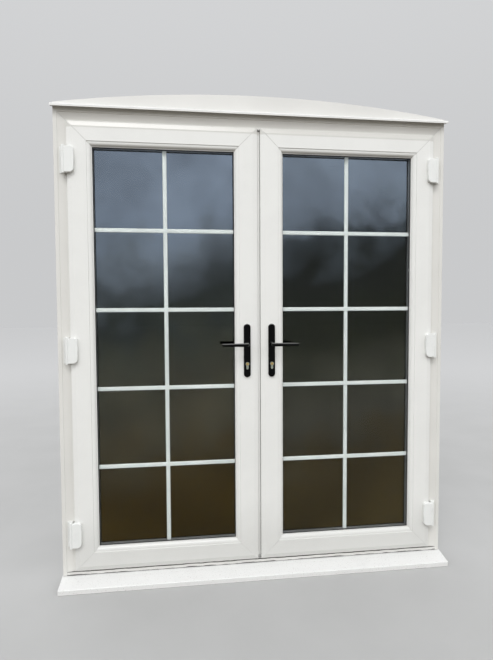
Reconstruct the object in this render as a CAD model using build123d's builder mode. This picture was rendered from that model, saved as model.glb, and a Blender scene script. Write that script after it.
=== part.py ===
from build123d import *
import os
from math import sqrt

# French doors: a pair of double glazed plastic leaves that open outwards, in their outer frame.
# Sizes are millimetres. X runs along the wall, Y into the house and Z up. The front faces of the closed
# leaves lie on y = 0 and the cill's underside on z = 0. Every piece is described on the right hand side,
# where x is positive, and the left hand ones are its mirror image.

# Overall sizes
frame_width = 1790.0
frame_top = 2100.0
cill_seat = 30.0                # top of the cill, where the frame stands
threshold_rise = 18.0           # front of the threshold above the cill's seat
foot_gap = 4.0                  # threshold to the foot of the leaves
meeting_gap = 14.0              # leaf to leaf

# Leaf profile: u runs inwards from the leaf's outer edge
leaf_depth = 70.0
flange_width = 20.0             # the flange that laps over the frame
flange_back = 14.0
bevel_depth = 6.0
face_width = 83.0
quirk_slope = 1.5
quirk_width = 4.5
quirk_depth = 3.0
ovolo_sagitta = 3.0
lip_front = 15.0
lip_land = 2.0
sight_line = 105.0              # where the glass starts to show
rebate_floor = 21.0
rebate_wall = 88.0
crest_radius = 4.0
edge_radius = 1.2
weld_reach = 2.1                # half of the shallow groove along each weld, measured along the profile
weld_depth = 0.5
hardware_y = 38.0               # middle of the hardware groove
strip_seat = 20.0               # groove width for the lock faceplate
strip_recess = 3.0
channel_width = 12.0            # deeper channel for rods
channel_depth = 9.0

# Outer frame profile: v runs inwards from the frame's outer edge
frame_front = 8.0
leaf_reveal = 55.0              # frame edge to leaf edge
frame_lap = 8.0                 # lap of the leaf over the frame
seal_gap = 2.5                  # leaf flange to frame
inner_seal_gap = 2.0            # leaf back to the frame's upstand
upstand_thickness = 6.0
strip_width = 16.0              # raised strip along the outer edge
strip_step = 2.0
frame_flat = 9.0                # flat of the frame beside the leaf
fixing_radius = 5.0
fixing_heights = (300.0, 800.0, 1300.0, 1800.0)
fixing_y = 45.0

# Threshold and cill
threshold_setback = 2.0
threshold_nose = 2.0
foot_joint_height = 2.0         # shadow gap between the frame's foot and the cill
foot_joint_depth = 4.0
cill_reach = 78.0               # nose of the cill in front of the leaves
cill_fall = 16.0                # drop of the cill's slope
cill_nose_drop = 8.0            # nose below the cill's underside
cill_nose_depth = 16.0
cill_nose_radius = 4.0
cill_wall = 3.0
cill_web = 2.5
cill_web_places = (-38.0, 10.0, 44.0)
end_cap_thickness = 4.0

# Arched infill panel and drip trim
arch_spring = 23.0              # panel height at the jambs
arch_rise = 66.0
panel_thickness = 28.0
drip_overhang = 7.0             # beyond the frame at each end
drip_reach = 26.0
drip_height = 13.0
drip_facet = 5.0
drip_lip = 2.5
drip_wall = 1.8

# Seals: each has a bulb on the frame's face and a foot in a groove
seal_inset = 1.0                # bulb behind the leaf's edge
seal_width = 5.0
seal_foot_width = 3.0
seal_foot_depth = 2.5
seal_rest_gap = 0.3
inner_foot_depth = 2.0

# Sealed glass unit
pane_thickness = 4.0
glass_cavity = 20.0
glass_edge_gap = 4.0
gasket_thickness = 3.0
gasket_lip = 2.8
gasket_land = 2.0
spacer_width = 11.0
spacer_inset = 3.0
bar_width = 18.0
bar_thickness = 8.0
bar_chamfer = 2.2
bar_rows = 5
bar_columns = 2
crossing_clip = 24.0
crossing_clip_thickness = 9.0
bead_width = 20.0
bead_land = 10.0
bead_joint = 0.2

# Hinges
hinge_heights = (223.0, 1050.0, 1878.0)
hinge_offset = 13.0             # pivot beyond the leaf's edge
hinge_reach = 8.0               # pivot in front of the leaf's face
hinge_height = 114.0
upper_knuckle = 24.0
lower_knuckle = 20.0
knuckle_radius = 7.5
knuckle_gap = 0.4
pin_radius = 4.0
pin_clearance = 0.05
pin_head = 1.5
leg_thickness = 8.0
base_width = 22.0
base_thickness = 3.0
flag_thickness = 3.0
flag_width = 30.0
cover_width = 43.0
cover_depth = 16.0
cover_wall = 2.0
cover_clearance = 0.5
cover_dip = 4.0                 # the cover's top dips beside the barrel
cover_dip_width = 5.0
cover_rise_width = 7.0
cover_rise_radius = 8.0
cover_shoulder = 14.0
cover_heel = 20.0
cover_lean = 3.0                # the cover narrows above and below its widest place
cover_waist = 45.0              # widest place below the top
cover_waist_radius = 60.0
cover_edge = 3.0

# Lever handles and lock cylinders
handle_x = 57.0
spindle_z = 1069.0
cylinder_z = 977.0
plate_width = 31.5
plate_top = 1161.0
plate_bottom = 915.0
plate_thickness = 9.0
plate_edge = 5.0
collar_radius = 10.0
collar_length = 13.0
collar_clearance = 0.2
lever_reach = 50.0
lever_length = 118.0
lever_bend = 14.0
lever_width = 6.4
lever_height = 8.4
lever_drop = 2.0                # the arm's middle below the spindle
tip_width = 5.0
tip_height = 6.6
tip_edge = 1.5
spindle_size = 8.0
spindle_reach = 30.0
spindle_hole = 7.0
hub_radius = 10.0
hub_clearance = 0.1
barrel_radius = 8.5
barrel_drop = 24.5
lobe_radius = 5.0
cylinder_proud = 3.0
plug_radius = 6.5
plug_clearance = 0.05
plug_proud = 0.5
cam_width = 9.4
cam_slot = 10.0
cam_radius = 15.0
cam_clearance = 1.2
cam_finger = 8.0
keyway_width = 2.0
keyway_height = 8.0
keyway_depth = 8.0
profile_clearance = 0.2

# Lock faceplates, cases and bolts
plate_recess = 0.5              # faceplate below the groove's mouth
strip_clearance = 0.2
strip_ends = 100.0              # faceplate ends to the leaf's ends
case_width = 47.0
case_thickness = 16.0
case_bottom = 940.0
case_top = 1110.0
latch_z = 1040.0
latch_height = 17.4
latch_throw = 12.0
latch_length = 42.0
latch_bevel = 8.0
slide_gap = 0.3
hook_heights = (560.0, 1500.0)
hook_offset = 16.0              # hook pivot behind the faceplate
hook_length = 54.0
hook_half = 6.0
hook_barb = 6.0
hook_nose = 7.0
hook_thickness = 7.4
hook_pin_radius = 3.0
hook_clearance = 3.0
case_wall = 3.0
rod_thickness = 7.7
rod_start = 25.0                # rod end to the lock case
bolt_setback = 2.0              # bolt ends inside the leaf when drawn
bolt_hole_depth = 14.0
keep_thickness = 2.0
keep_margin = 10.0

# Floating mullion on the left leaf and the seal that faces it on the right leaf
mullion_edge = 0.0              # the mullion's face on the meeting line
mullion_nose = 5.5
nose_thickness = 5.5
mullion_end_gap = 4.0
mullion_cap = 8.0
mullion_cap_lap = 8.0
seal_bulb_radius = 5.0
seal_bulb_x = 15.5
seal_bulb_inset = 9.0           # middle of the bulb in front of the leaf's back
seal_neck = 4.0

# Places worked out from the sizes above
frame_edge = frame_width / 2
leaf_edge = frame_edge - leaf_reveal
leaf_inner = meeting_gap / 2
threshold_top = cill_seat + threshold_rise
leaf_bottom = threshold_top + foot_gap
leaf_top = frame_top - leaf_reveal
leaf_box = (leaf_inner, leaf_edge, leaf_bottom, leaf_top)
leaf_width = leaf_edge - leaf_inner
leaf_height = leaf_top - leaf_bottom
body_edge = leaf_inner + flange_width
frame_box = (-frame_edge, frame_edge, leaf_bottom - leaf_reveal, frame_top)
frame_face = flange_back + seal_gap
upstand_front = leaf_depth + inner_seal_gap
frame_back = upstand_front + upstand_thickness
rebate_v = leaf_reveal + frame_lap
upstand_v = leaf_reveal + flange_width + frame_lap
outer_pane_front = rebate_floor + gasket_thickness
cavity_front = outer_pane_front + pane_thickness
cavity_back = cavity_front + glass_cavity
inner_pane_back = cavity_back + pane_thickness
bead_front = inner_pane_back + gasket_thickness
pane_u = rebate_wall + glass_edge_gap
spacer_u = pane_u + spacer_inset
hinge_x = leaf_edge + hinge_offset
strip_front = body_edge + plate_recess
strip_back = body_edge + strip_recess
hook_x = strip_back + hook_offset
seal_bulb_y = leaf_depth - seal_bulb_inset


def facing(depth):
    """A plane at one depth that faces outdoors, with X to the right and Z up."""
    return Plane.XZ.offset(-depth)


def block(low, high, mode=Mode.ADD):
    """A box between two opposite corners."""
    size = Vector(*high) - Vector(*low)
    with Locations(Vector(*low) + size / 2):
        Box(size.X, size.Y, size.Z, mode=mode)


def rod(x, z, front, back, radius, mode=Mode.ADD):
    """A round bar that runs from front to back."""
    with Locations((x, (front + back) / 2, z)):
        Cylinder(radius, back - front, rotation=(90, 0, 0), mode=mode)


def side_corners(side, box, inset, joint=0.0):
    """Both ends of one side of a rectangle, at an inset from its edge."""
    left, right, bottom, top = box
    corners = [
        Vector(left + inset, bottom + inset),
        Vector(right - inset, bottom + inset),
        Vector(right - inset, top - inset),
        Vector(left + inset, top - inset),
    ]
    first = ("bottom", "right", "top", "left").index(side)
    start, end = corners[first], corners[(first + 1) % 4]
    along = (end - start).normalized()
    return start + along * joint, end - along * joint


def member(section, side, box, reach, joint=0.0):
    """One mitred side of a rectangle of profile, whose section is drawn inwards and towards the back."""
    start, end = side_corners(side, box, 0.0)
    along = (end - start).normalized()
    inwards = Vector(-along.Y, 0, along.X)
    section_plane = Plane(origin=(end.X, 0, end.Y), x_dir=inwards, z_dir=(-along.X, 0, -along.Y))
    outer_start, outer_end = side_corners(side, box, 0.0, joint)
    inner_start, inner_end = side_corners(side, box, reach, joint)
    mitres = [outer_start, outer_end, inner_end, inner_start]
    with BuildPart() as piece:
        with BuildSketch(section_plane):
            add(section)
        extrude(amount=(end - start).length)
        with BuildSketch(Plane.XZ):
            with BuildLine():
                Polyline(*[(corner.X, corner.Y) for corner in mitres], close=True)
            make_face()
        extrude(amount=2 * frame_back, both=True, mode=Mode.INTERSECT)
    return piece.part


def lowered(section):
    """A section whose front lies deeper by the weld groove."""
    with BuildSketch() as sunk:
        add(section)
        with Locations((0, weld_depth)):
            add(section, mode=Mode.INTERSECT)
    return sunk.sketch


def welded_member(section, side, box, reach):
    """A mitred side with half of a weld groove across its front at both ends."""
    with BuildPart() as piece:
        add(member(section, side, box, reach, weld_reach))
        add(member(lowered(section), side, box, reach))
    return piece.part


def ring(box, outer_inset, inner_inset, front, back, mode=Mode.ADD):
    """A flat rectangular ring between two insets from a rectangle and between two depths."""
    left, right, bottom, top = box
    with BuildSketch(facing(back)) as outline:
        with Locations(((left + right) / 2, (bottom + top) / 2)):
            Rectangle(right - left - 2 * outer_inset, top - bottom - 2 * outer_inset)
            Rectangle(right - left - 2 * inner_inset, top - bottom - 2 * inner_inset, mode=Mode.SUBTRACT)
    extrude(outline.sketch, amount=back - front, mode=mode)


def write(piece, label):
    """Name a finished piece and write its file."""
    piece.part.label = label
    export_step(piece.part, f"parts/{label}.step")


def write_left(piece, label):
    """Write the left hand mirror image of a piece."""
    with BuildPart() as twin:
        mirror(piece.part, about=Plane.YZ)
    write(twin, label)


def write_pair(piece, label):
    """Write a piece of the right leaf and its mirror image on the left leaf."""
    write(piece, f"right_{label}")
    write_left(piece, f"left_{label}")


os.makedirs("parts", exist_ok=True)

# Outer frame section, with v across and the depth up
with BuildSketch() as frame_section:
    with BuildLine():
        Polyline(
            (0, frame_front),
            (strip_width, frame_front),
            (strip_width + 1, frame_front + strip_step),
            (leaf_reveal - frame_flat, frame_face),
            (rebate_v, frame_face),
            (rebate_v, upstand_front),
            (upstand_v, upstand_front),
            (upstand_v, frame_back),
            (0, frame_back),
            close=True,
        )
    make_face()
    fillet(frame_section.vertices().group_by(Axis.Y)[0], edge_radius)
    fillet(frame_section.vertices().group_by(Axis.X)[-1], edge_radius)

# Seal sections, each a rounded bulb with a foot that sits in the frame's groove
outer_bulb_v = leaf_reveal + seal_inset
inner_bulb_v = leaf_reveal + flange_width + seal_inset


def seal_section(bulb_v, face, bulb_height, foot_depth):
    """A seal that stands on a face and is held by its foot."""
    with BuildSketch() as section:
        with Locations((bulb_v + seal_width / 2, face - bulb_height / 2)):
            Rectangle(seal_width, bulb_height)
        fillet(section.vertices().group_by(Axis.Y)[0], 0.45 * bulb_height)
        with Locations((bulb_v + seal_width / 2, face + foot_depth / 2)):
            Rectangle(seal_foot_width, foot_depth)
    return section.sketch


def cut_seal_grooves():
    """Both seal grooves of the frame, as rings round the whole rectangle."""
    foot_inset = (seal_width - seal_foot_width) / 2
    outer_v = outer_bulb_v + foot_inset
    inner_v = inner_bulb_v + foot_inset
    outer_floor = frame_face + seal_foot_depth
    inner_floor = upstand_front + inner_foot_depth
    ring(frame_box, outer_v, outer_v + seal_foot_width, frame_face, outer_floor, Mode.SUBTRACT)
    ring(frame_box, inner_v, inner_v + seal_foot_width, upstand_front, inner_floor, Mode.SUBTRACT)


# Holes for the ends of the left leaf's bolts, and the plates round them
bolt_low = (-(strip_back + rod_thickness + 2 * slide_gap), hardware_y - channel_width / 2)
bolt_high = (-strip_back, hardware_y + channel_width / 2)
head_rebate = frame_top - rebate_v
sill_rebate = leaf_bottom + frame_lap

with BuildPart() as frame_head:
    add(welded_member(frame_section.sketch, "top", frame_box, upstand_v))
    cut_seal_grooves()
    block((*bolt_low, head_rebate), (*bolt_high, head_rebate + bolt_hole_depth), Mode.SUBTRACT)
write(frame_head, "frame_head")



def jamb(section, joint=0.0):
    """The right jamb's profile, mitred at the top and cut over the end of the threshold."""
    strip_side = frame_edge - strip_width - 1
    with BuildPart() as piece:
        with BuildSketch(Plane((frame_edge, 0, frame_top), x_dir=(-1, 0, 0), z_dir=(0, 0, -1))):
            add(section)
        extrude(amount=frame_top - cill_seat)
        with BuildSketch(Plane.XZ):
            with BuildLine():
                Polyline(
                    (frame_edge, cill_seat),
                    (frame_edge, frame_top - joint),
                    (frame_edge - upstand_v, frame_top - upstand_v - joint),
                    (frame_edge - upstand_v, threshold_top),
                    (strip_side, threshold_top),
                    (strip_side, cill_seat),
                    close=True,
                )
            make_face()
        extrude(amount=2 * frame_back, both=True, mode=Mode.INTERSECT)
    return piece.part


with BuildPart() as right_jamb:
    add(jamb(frame_section.sketch, weld_reach))
    add(jamb(lowered(frame_section.sketch)))
    cut_seal_grooves()
    block((frame_edge - upstand_v, 0, cill_seat),
          (frame_edge, frame_front + threshold_setback + foot_joint_depth, cill_seat + foot_joint_height),
          Mode.SUBTRACT)
    for height in fixing_heights:
        with Locations((frame_edge - upstand_v / 2, fixing_y, height)):
            Cylinder(fixing_radius, 2 * upstand_v, rotation=(0, 90, 0), mode=Mode.SUBTRACT)
write(right_jamb, "frame_jamb_right")
write_left(right_jamb, "frame_jamb_left")

# Threshold: a low base between the jambs' outer strips, a rebate wall and an upstand on the room side
base_half = frame_edge - strip_width - 1
rebate_half = frame_edge - rebate_v
upstand_half = frame_edge - upstand_v
threshold_face = frame_front + threshold_setback
with BuildPart() as threshold:
    with BuildSketch(Plane.YZ):
        with BuildLine():
            Polyline(
                (threshold_face + foot_joint_depth, cill_seat),
                (threshold_face + foot_joint_depth, cill_seat + foot_joint_height),
                (threshold_face, cill_seat + foot_joint_height),
                (threshold_face, threshold_top - threshold_nose),
                (threshold_face + threshold_nose, threshold_top),
                (frame_back, threshold_top),
                (frame_back, cill_seat),
                close=True,
            )
        make_face()
    extrude(amount=base_half, both=True)
    block((-rebate_half, frame_face, threshold_top), (rebate_half, upstand_front, sill_rebate))
    block((-upstand_half, upstand_front, threshold_top),
          (upstand_half, frame_back, leaf_bottom + upstand_v - leaf_reveal))
    cut_seal_grooves()
    block((*bolt_low, sill_rebate - bolt_hole_depth), (*bolt_high, sill_rebate), Mode.SUBTRACT)
write(threshold, "threshold")

# Keeps for the shootbolts: a plate with a slot in the head and one in the threshold
with BuildPart() as bolt_keeps:
    for low_z in (head_rebate - keep_thickness, sill_rebate):
        high_z = low_z + keep_thickness
        block((bolt_low[0] - keep_margin, bolt_low[1] - keep_margin / 2, low_z),
              (bolt_high[0] + keep_margin, bolt_high[1] + keep_margin / 2, high_z))
        block((*bolt_low, low_z), (*bolt_high, high_z), Mode.SUBTRACT)
write(bolt_keeps, "shootbolt_keeps")

# Cill: a hollow profile with a sloping top and a deep nose
cill_nose_y = -cill_reach
with BuildSketch() as cill_outline:
    with BuildLine():
        Polyline(
            (frame_back, 0),
            (frame_back, cill_seat),
            (frame_front, cill_seat),
            (cill_nose_y, cill_seat - cill_fall),
            (cill_nose_y, -cill_nose_drop),
            (cill_nose_y + cill_nose_depth, -cill_nose_drop),
            (cill_nose_y + cill_nose_depth, 0),
            close=True,
        )
    make_face()
    fillet(cill_outline.vertices().group_by(Axis.X)[0].sort_by(Axis.Y)[-1], cill_nose_radius)
    fillet(cill_outline.vertices().group_by(Axis.Y)[0], edge_radius)

with BuildSketch() as cill_chambers:
    add(cill_outline.sketch)
    offset(amount=-cill_wall, kind=Kind.INTERSECTION)
    for place in cill_web_places:
        with Locations((place, 0)):
            Rectangle(cill_web, 4 * cill_seat, mode=Mode.SUBTRACT)

with BuildPart() as cill:
    with BuildSketch(Plane.YZ):
        add(cill_outline.sketch)
        add(cill_chambers.sketch, mode=Mode.SUBTRACT)
    extrude(amount=frame_edge, both=True)
write(cill, "cill")

with BuildPart() as cill_end_caps:
    with BuildSketch(Plane.YZ.offset(frame_edge)):
        add(cill_outline.sketch)
    extrude(amount=end_cap_thickness)
    mirror(about=Plane.YZ)
write(cill_end_caps, "cill_end_caps")

# Arched infill panel: its top follows the brick arch
with BuildPart() as arch_panel:
    with BuildSketch(facing(frame_front + panel_thickness)):
        with BuildLine():
            base = Polyline(
                (-frame_edge, frame_top + arch_spring),
                (-frame_edge, frame_top),
                (frame_edge, frame_top),
                (frame_edge, frame_top + arch_spring),
            )
            ThreePointArc(base @ 1, (0, frame_top + arch_spring + arch_rise), base @ 0)
        make_face()
    extrude(amount=panel_thickness)
write(arch_panel, "arch_panel")

# Drip trim: a bent strip under the arched panel with two facets and a lip
drip_nose_y = frame_front - drip_reach
with BuildPart() as head_drip:
    with BuildSketch(Plane.YZ):
        with BuildLine():
            Polyline(
                (frame_front, frame_top + drip_height),
                (drip_nose_y + drip_facet, frame_top + drip_height - drip_facet / 2),
                (drip_nose_y, frame_top + drip_facet),
                (drip_nose_y, frame_top - drip_lip),
                (drip_nose_y + drip_wall, frame_top - drip_lip),
                (drip_nose_y + drip_wall, frame_top + drip_wall),
                (frame_front, frame_top + 2 * drip_wall),
                close=True,
            )
        make_face()
    extrude(amount=frame_edge + drip_overhang, both=True)
write(head_drip, "head_drip")

# Frame seals: an outer and an inner ring
sides = ("bottom", "right", "top", "left")
outer_seal = seal_section(outer_bulb_v, frame_face, seal_gap - seal_rest_gap, seal_foot_depth)
inner_seal = seal_section(inner_bulb_v, upstand_front, inner_seal_gap - seal_rest_gap, inner_foot_depth)
for label, section in (("frame_outer_seal", outer_seal), ("frame_inner_seal", inner_seal)):
    with BuildPart() as seal:
        for side in sides:
            add(member(section, side, frame_box, upstand_v))
    write(seal, label)

# Leaf section, with u across and the depth up
groove_low, groove_high = hardware_y - strip_seat / 2, hardware_y + strip_seat / 2
channel_low, channel_high = hardware_y - channel_width / 2, hardware_y + channel_width / 2
groove_floor = flange_width + strip_recess
with BuildSketch() as leaf_section:
    with BuildLine():
        face = Polyline(
            (0, flange_back),
            (0, bevel_depth),
            (flange_width, 0),
            (face_width, 0),
            (face_width + quirk_slope, quirk_depth),
            (face_width + quirk_width, quirk_depth),
        )
        ovolo = SagittaArc(face @ 1, (sight_line - lip_land, lip_front), -ovolo_sagitta)
        Polyline(
            ovolo @ 1,
            (sight_line, lip_front),
            (sight_line, rebate_floor),
            (rebate_wall, rebate_floor),
            (rebate_wall, leaf_depth),
            (flange_width, leaf_depth),
            (flange_width, groove_high),
            (groove_floor, groove_high),
            (groove_floor, channel_high),
            (groove_floor + channel_depth, channel_high),
            (groove_floor + channel_depth, channel_low),
            (groove_floor, channel_low),
            (groove_floor, groove_low),
            (flange_width, groove_low),
            (flange_width, flange_back),
            face @ 0,
        )
    make_face()
    front_corners = leaf_section.vertices().group_by(Axis.Y)[0].sort_by(Axis.X)
    fillet(front_corners[0], crest_radius)
    fillet(leaf_section.vertices().group_by(Axis.Y)[0].sort_by(Axis.X)[-1], edge_radius)
    fillet(leaf_section.vertices().group_by(Axis.X)[0], edge_radius)
    fillet(leaf_section.vertices().group_by(Axis.Y)[-1].sort_by(Axis.X)[0], edge_radius)

for side, label in (("top", "top_rail"), ("bottom", "bottom_rail")):
    with BuildPart() as rail:
        add(welded_member(leaf_section.sketch, side, leaf_box, sight_line))
    write(rail, f"right_{label}")
    with BuildPart() as bored_rail:
        add(rail.part)
        block((strip_back, channel_low, leaf_bottom), (strip_back + channel_depth, channel_high, leaf_top),
              Mode.SUBTRACT)
    write_left(bored_rail, f"left_{label}")

with BuildPart() as hinge_stile:
    add(welded_member(leaf_section.sketch, "right", leaf_box, sight_line))
write_pair(hinge_stile, "hinge_stile")


def cylinder_profile(grow):
    """The keyhole shaped section of a lock cylinder, centred on its plug."""
    with BuildSketch() as profile:
        Circle(barrel_radius + grow)
        with Locations((0, -(barrel_drop - lobe_radius) / 2)):
            Rectangle(2 * (lobe_radius + grow), barrel_drop - lobe_radius)
        with Locations((0, lobe_radius - barrel_drop)):
            Circle(lobe_radius + grow)
    return profile.sketch


def cylinder_bar(front, back, grow=0.0, mode=Mode.ADD):
    """The cylinder's section as a bar from front to back."""
    with BuildSketch(facing(back)) as profile:
        with Locations((handle_x, cylinder_z)):
            add(cylinder_profile(grow))
    extrude(profile.sketch, amount=back - front, mode=mode)


case_low_y, case_high_y = hardware_y - case_thickness / 2, hardware_y + case_thickness / 2
case_low = (strip_back, case_low_y, case_bottom)
case_high = (strip_back + case_width, case_high_y, case_top)
hook_case_width = hook_offset + hook_half + hook_clearance + case_wall
hook_swing = sqrt(hook_length**2 + (hook_half + hook_barb) ** 2)
hook_case_below = hook_half + hook_clearance + case_wall
hook_case_above = hook_swing + hook_clearance + case_wall


def hook_case_corners(height):
    """Opposite corners of the case round the hook at one height."""
    return ((strip_back, case_low_y, height - hook_case_below),
            (strip_back + hook_case_width, case_high_y, height + hook_case_above))


def bore_stile():
    """Pocket for the lock case and holes for the spindle and the cylinder through the meeting stile."""
    block(case_low, case_high, Mode.SUBTRACT)
    rod(handle_x, spindle_z, 0, leaf_depth, spindle_hole, Mode.SUBTRACT)
    cylinder_bar(0, leaf_depth, profile_clearance, Mode.SUBTRACT)


with BuildPart() as right_meeting_stile:
    add(welded_member(leaf_section.sketch, "left", leaf_box, sight_line))
    bore_stile()
    for height in hook_heights:
        block(*hook_case_corners(height), Mode.SUBTRACT)
write(right_meeting_stile, "right_meeting_stile")

with BuildPart() as left_meeting_stile:
    add(welded_member(leaf_section.sketch, "left", leaf_box, sight_line))
    bore_stile()
    block((strip_back, channel_low, leaf_bottom), (strip_back + channel_depth, channel_high, leaf_top),
          Mode.SUBTRACT)
write_left(left_meeting_stile, "left_meeting_stile")

# Sealed unit: two panes, the spacer between them and the bars inside
with BuildPart() as outer_pane:
    block((leaf_inner + pane_u, outer_pane_front, leaf_bottom + pane_u),
          (leaf_edge - pane_u, cavity_front, leaf_top - pane_u))
write_pair(outer_pane, "outer_pane")

with BuildPart() as inner_pane:
    block((leaf_inner + pane_u, cavity_back, leaf_bottom + pane_u),
          (leaf_edge - pane_u, inner_pane_back, leaf_top - pane_u))
write_pair(inner_pane, "inner_pane")

with BuildPart() as spacer:
    ring(leaf_box, spacer_u, spacer_u + spacer_width, cavity_front, cavity_back)
write_pair(spacer, "spacer")

bar_middle = (cavity_front + cavity_back) / 2
bar_inset = spacer_u + spacer_width
glass_width = leaf_width - 2 * sight_line
glass_height = leaf_height - 2 * sight_line
column_places = [leaf_inner + sight_line + glass_width * i / bar_columns for i in range(1, bar_columns)]
row_places = [leaf_bottom + sight_line + glass_height * i / bar_rows for i in range(1, bar_rows)]
with BuildSketch() as bar_section:
    Rectangle(bar_width, bar_thickness)
    chamfer(bar_section.vertices(), bar_chamfer)

with BuildPart() as bars:
    for place in column_places:
        with BuildSketch(Plane((place, bar_middle, leaf_bottom + bar_inset))):
            add(bar_section.sketch)
        extrude(amount=leaf_height - 2 * bar_inset)
    for place in row_places:
        row_start = (leaf_edge - bar_inset, bar_middle, place)
        with BuildSketch(Plane(row_start, x_dir=(0, 0, 1), z_dir=(-1, 0, 0))):
            add(bar_section.sketch)
        extrude(amount=leaf_width - 2 * bar_inset)
    with Locations(*[(column, bar_middle, row) for column in column_places for row in row_places]):
        Box(crossing_clip, crossing_clip_thickness, bar_width / 2)
        Box(bar_width / 2, crossing_clip_thickness, crossing_clip)
write_pair(bars, "glazing_bars")

# Glazing gaskets: a lip that shows round the glass outdoors and a flat strip under the beads
with BuildSketch() as outer_gasket_section:
    with BuildLine():
        Polyline(
            (pane_u + gasket_land, rebate_floor),
            (sight_line, rebate_floor),
            (sight_line + gasket_lip, outer_pane_front - gasket_thickness / 3),
            (sight_line + gasket_lip, outer_pane_front),
            (pane_u + gasket_land, outer_pane_front),
            close=True,
        )
    make_face()

bead_reach = rebate_wall + bead_width
with BuildSketch() as inner_gasket_section:
    with Locations(((pane_u + gasket_land + bead_reach) / 2, (inner_pane_back + bead_front) / 2)):
        Rectangle(bead_reach - pane_u - gasket_land, gasket_thickness)

with BuildPart() as glazing_gaskets:
    for side in sides:
        add(member(outer_gasket_section.sketch, side, leaf_box, sight_line + gasket_lip))
        add(member(inner_gasket_section.sketch, side, leaf_box, bead_reach))
write_pair(glazing_gaskets, "glazing_gaskets")

# Glazing beads: four mitred strips with a rounded edge on the room side
with BuildSketch() as bead_section:
    with BuildLine():
        base = Polyline(
            (rebate_wall + bead_land, leaf_depth),
            (rebate_wall, leaf_depth),
            (rebate_wall, bead_front),
            (bead_reach, bead_front),
            (bead_reach, bead_front + lip_land),
        )
        SagittaArc(base @ 1, base @ 0, -ovolo_sagitta)
    make_face()

with BuildPart() as glazing_beads:
    for side in sides:
        add(member(bead_section.sketch, side, leaf_box, bead_reach, bead_joint))
write_pair(glazing_beads, "glazing_beads")

# Hinges: the frame part carries the end knuckles, the flag on the leaf carries the long one between them
chamfer_run = leaf_reveal - frame_flat - strip_width - 1
chamfer_slope = (frame_face - frame_front - strip_step) / chamfer_run


def frame_face_depth(x):
    """Depth of the frame's sloping front at one place."""
    return frame_front + strip_step + (frame_edge - x - strip_width - 1) * chamfer_slope


base_start = hinge_x - leg_thickness / 2
base_end = base_start + base_width


def knuckle(low, high, mode=Mode.ADD, radius=knuckle_radius):
    """A round length of the hinge on its pivot."""
    with Locations((hinge_x, -hinge_reach, (low + high) / 2)):
        Cylinder(radius, high - low, mode=mode)


def hinge_levels(height):
    """Bottom and top of one hinge, and of the leaf's knuckle between the frame's two."""
    bottom, top = height - hinge_height / 2, height + hinge_height / 2
    return bottom, bottom + lower_knuckle, top - upper_knuckle, top


with BuildPart() as hinge_frame_parts:
    for height in hinge_heights:
        bottom, split_low, split_high, top = hinge_levels(height)
        for low, high in ((bottom, split_low), (split_high, top)):
            knuckle(low, high)
            with BuildSketch(Plane.XY.offset(low)):
                with BuildLine():
                    Polyline(
                        (base_start, -hinge_reach),
                        (base_start + leg_thickness, -hinge_reach),
                        (base_start + leg_thickness, frame_face_depth(base_start + leg_thickness)),
                        (base_start, frame_face_depth(base_start)),
                        close=True,
                    )
                make_face()
            extrude(amount=high - low)
        with BuildSketch(Plane.XY.offset(bottom)):
            with BuildLine():
                Polyline(
                    (base_start, frame_face_depth(base_start)),
                    (base_end, frame_face_depth(base_end)),
                    (base_end, frame_face_depth(base_end) - base_thickness),
                    (base_start, frame_face_depth(base_start) - base_thickness),
                    close=True,
                )
            make_face()
        extrude(amount=hinge_height)
        knuckle(bottom, top, Mode.SUBTRACT, pin_radius)
write(hinge_frame_parts, "right_hinge_frame_parts")
write_left(hinge_frame_parts, "left_hinge_frame_parts")

with BuildPart() as hinge_pins:
    for height in hinge_heights:
        bottom, split_low, split_high, top = hinge_levels(height)
        knuckle(bottom - pin_head, top + pin_head, radius=pin_radius)
    mirror(about=Plane.YZ)
write(hinge_pins, "hinge_pins")

flag_end = leaf_edge - flag_width
with BuildPart() as hinge_flags:
    for height in hinge_heights:
        bottom, split_low, split_high, top = hinge_levels(height)
        low, high = split_low + knuckle_gap, split_high - knuckle_gap
        knuckle(low, high)
        block((flag_end, -flag_thickness, low), (hinge_x, 0, high))
        knuckle(low, high, Mode.SUBTRACT, pin_radius + pin_clearance)
write_pair(hinge_flags, "hinge_flags")

cover_start = base_start - cover_clearance
knuckle_wall_radius = knuckle_radius + cover_clearance + cover_wall
cover_end = cover_start - cover_width


def cover_outline(height):
    """The outline of a hinge cover from the front: a D whose top rises in a soft step beside the barrel."""
    bottom, top = height - hinge_height / 2, height + hinge_height / 2
    dip_end = cover_start - cover_dip_width
    rounded_corners = [
        ((dip_end, top - cover_dip), cover_rise_radius),
        ((dip_end - cover_rise_width, top), cover_rise_radius),
        ((cover_end + cover_lean, top), cover_shoulder),
        ((cover_end, top - cover_waist), cover_waist_radius),
        ((cover_end + cover_lean, bottom), cover_heel),
    ]
    with BuildSketch() as outline:
        with BuildLine():
            Polyline(
                (cover_start, bottom),
                (cover_start, top - cover_dip),
                *[corner for corner, radius in rounded_corners],
                close=True,
            )
        make_face()
        for corner, radius in rounded_corners:
            fillet(outline.vertices().sort_by_distance(corner)[0], radius)
    return outline.sketch


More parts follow.
